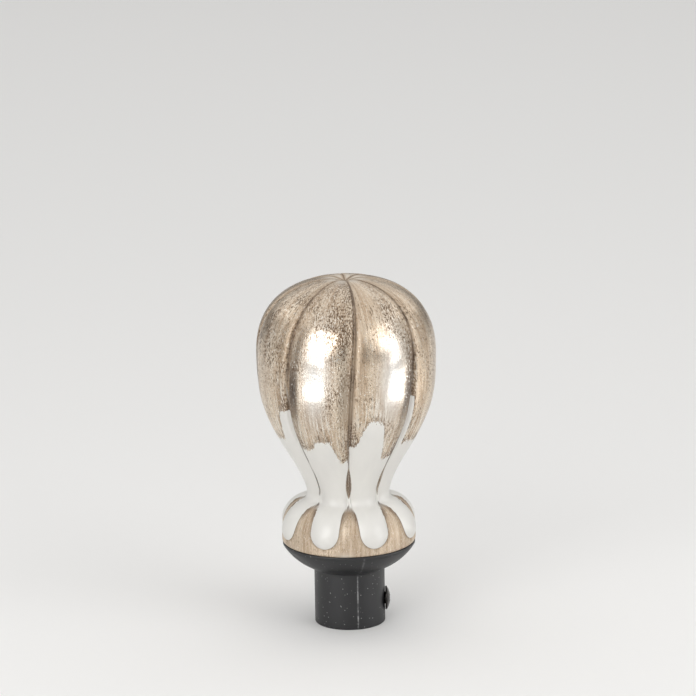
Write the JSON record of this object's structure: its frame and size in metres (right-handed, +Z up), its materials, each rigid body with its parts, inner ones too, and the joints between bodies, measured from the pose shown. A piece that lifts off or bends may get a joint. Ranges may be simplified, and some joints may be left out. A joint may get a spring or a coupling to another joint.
{
  "type": "curtain pole finial",
  "caption": "Decorative end for a round curtain pole: a fluted bulb with a waist and a domed foot of rounded fingers, on a bowl-shaped moulded socket with a grip screw in its side.",
  "frame": {"origin": "centre of the socket's open end, at the bottom of the upright part", "axes": "+Z up along the pole's axis towards the crown of the bulb, +X towards the grip screw, -Y towards the side in the picture"},
  "size_m": [0.058, 0.058, 0.1152],
  "materials": {
    "cast_head": "filled resin casting, white lacquer with an antique silver patina brushed over it",
    "socket_plastic": "satin black moulded plastic",
    "fixing_steel": "zinc plated steel",
    "grip_steel": "blackened steel, slightly glossy"
  },
  "bodies": {
    "root": {"finial_head": "cast_head", "pole_socket": "socket_plastic", "fixing_screw": "fixing_steel", "grip_screw": "grip_steel"}
  },
  "joints": []
}
